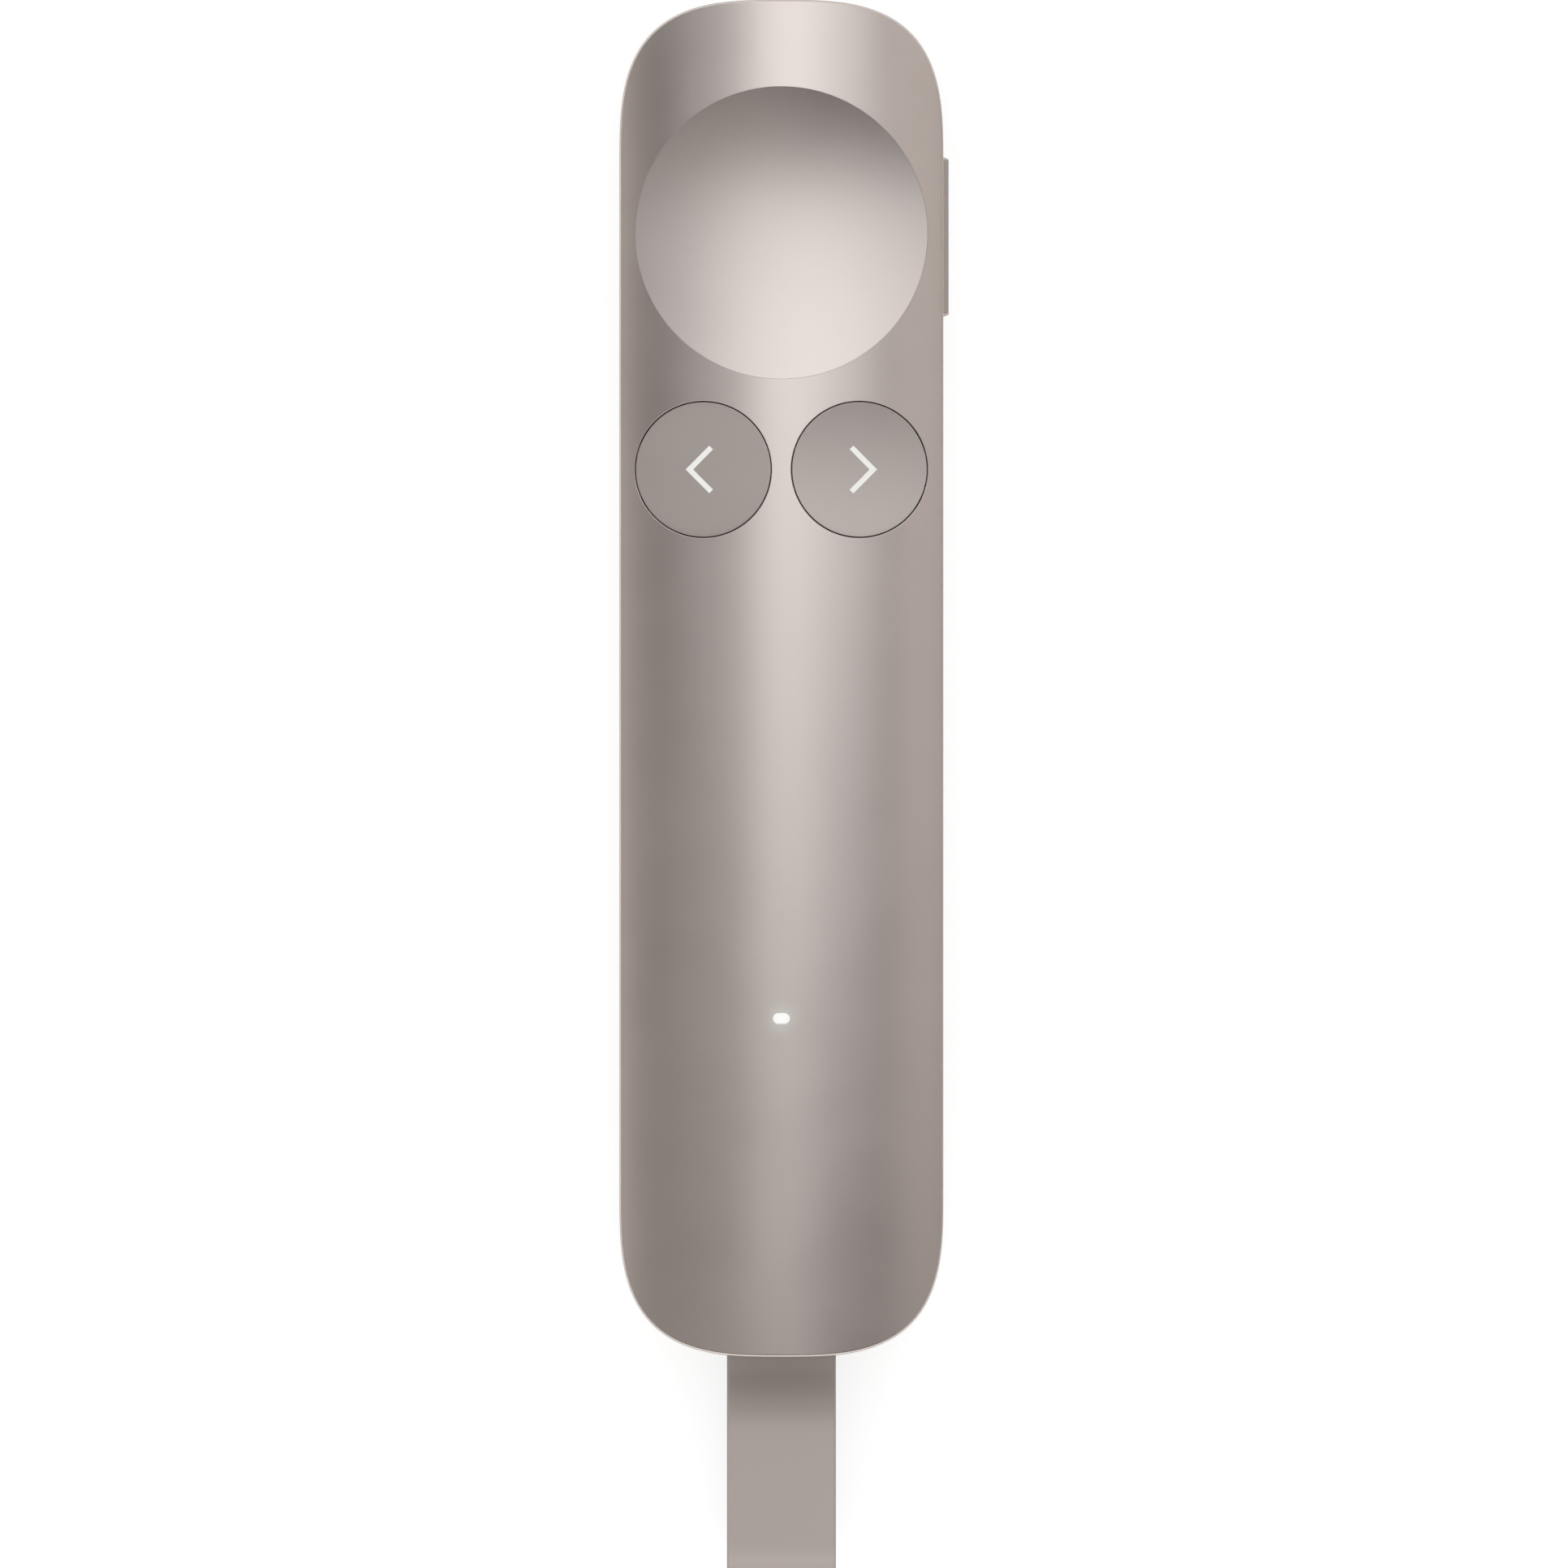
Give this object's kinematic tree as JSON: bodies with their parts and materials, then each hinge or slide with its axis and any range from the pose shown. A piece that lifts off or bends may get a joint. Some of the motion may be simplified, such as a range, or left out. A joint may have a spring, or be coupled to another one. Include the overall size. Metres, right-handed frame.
{
  "type": "wireless presentation clicker",
  "caption": "Slim crowned hand-held presentation clicker with a round concave pointer dish, round arrow keys, a side button, a status light and a docked receiver on a strap loop.",
  "frame": {"origin": "middle of the flat rest on the back, under the centre of the body without its strap", "axes": "+Z out of the button face, +Y towards the nose with the round dish, +X towards the edge with the side button"},
  "size_m": [0.0305, 0.1464, 0.0132],
  "materials": {
    "shell_metal": "bead-blasted and anodised, warm grey",
    "rear_metal": "bead-blasted and anodised, warm grey",
    "dish_metal": "bead-blasted and anodised, warm grey",
    "key_plastic": "fine satin",
    "white_mark": "matt white inlay",
    "light_window": "lit white diffuser",
    "strap_rubber": "smooth matt elastomer",
    "black_plastic": "fine texture",
    "steel": "drawn and plated",
    "switch_metal": "stamped sheet",
    "board_green": "solder mask",
    "chip_black": "moulded epoxy",
    "ceramic_white": "fired body",
    "led_white": "clear resin",
    "battery_foil": "laminated pouch foil",
    "foam_grey": "closed-cell foam",
    "pad_rubber": "moulded silicone",
    "wire_red": "insulated wire",
    "ivory_plastic": "moulded connector"
  },
  "bodies": {
    "housing": {"front_shell": "shell_metal", "rear_shell": "rear_metal", "inner_frame": "black_plastic", "housing_screws": "steel", "bay_sleeve": "black_plastic", "dish_switch": "switch_metal", "left_key_switch": "switch_metal", "right_key_switch": "switch_metal", "side_switch": "switch_metal", "main_board": "board_green", "radio_chip": "chip_black", "radio_shield": "switch_metal", "chip_antenna": "ceramic_white", "motion_sensor": "chip_black", "charge_chip": "chip_black", "status_led": "led_white", "light_pipe": "light_window", "haptic_motor": "switch_metal", "motor_pad": "foam_grey", "battery_cell": "battery_foil", "battery_pad": "foam_grey", "battery_guard_board": "board_green", "battery_wires": "wire_red", "battery_connector": "ivory_plastic", "port_shell": "steel", "port_tongue": "black_plastic"},
    "dish": {"pointer_dish": "dish_metal", "dish_pad": "pad_rubber", "dish_switch_button": "black_plastic"},
    "left_key": {"left_key": "key_plastic", "left_chevron": "white_mark", "left_key_pad": "pad_rubber", "left_switch_button": "black_plastic"},
    "right_key": {"right_key": "key_plastic", "right_chevron": "white_mark", "right_key_pad": "pad_rubber", "right_switch_button": "black_plastic"},
    "side_button": {"side_button": "key_plastic", "side_switch_button": "black_plastic"},
    "receiver": {"receiver_shell": "black_plastic", "receiver_face": "black_plastic", "plug_shell": "steel", "plug_insert": "black_plastic", "receiver_board": "board_green", "receiver_chip": "chip_black", "strap_pin": "steel", "strap_loop": "strap_rubber"}
  },
  "joints": [
    {"name": "dish_press", "type": "slide", "parent": "housing", "child": "dish", "axis": [0, 0, -1], "range_m": [0, 0.00035], "stiffness_N_per_m": 4000, "springref_m": -0.0002},
    {"name": "left_key_press", "type": "slide", "parent": "housing", "child": "left_key", "axis": [0, 0, -1], "range_m": [0, 0.00035], "stiffness_N_per_m": 3500, "springref_m": -0.0002},
    {"name": "right_key_press", "type": "slide", "parent": "housing", "child": "right_key", "axis": [0, 0, -1], "range_m": [0, 0.00035], "stiffness_N_per_m": 3500, "springref_m": -0.0002},
    {"name": "side_button_press", "type": "slide", "parent": "housing", "child": "side_button", "axis": [-1, 0, 0], "range_m": [0, 0.0003], "stiffness_N_per_m": 4000, "springref_m": -0.0002},
    {"name": "receiver_pull", "type": "slide", "parent": "housing", "child": "receiver", "axis": [0, -1, 0], "range_m": [0, 0.024]}
  ]
}
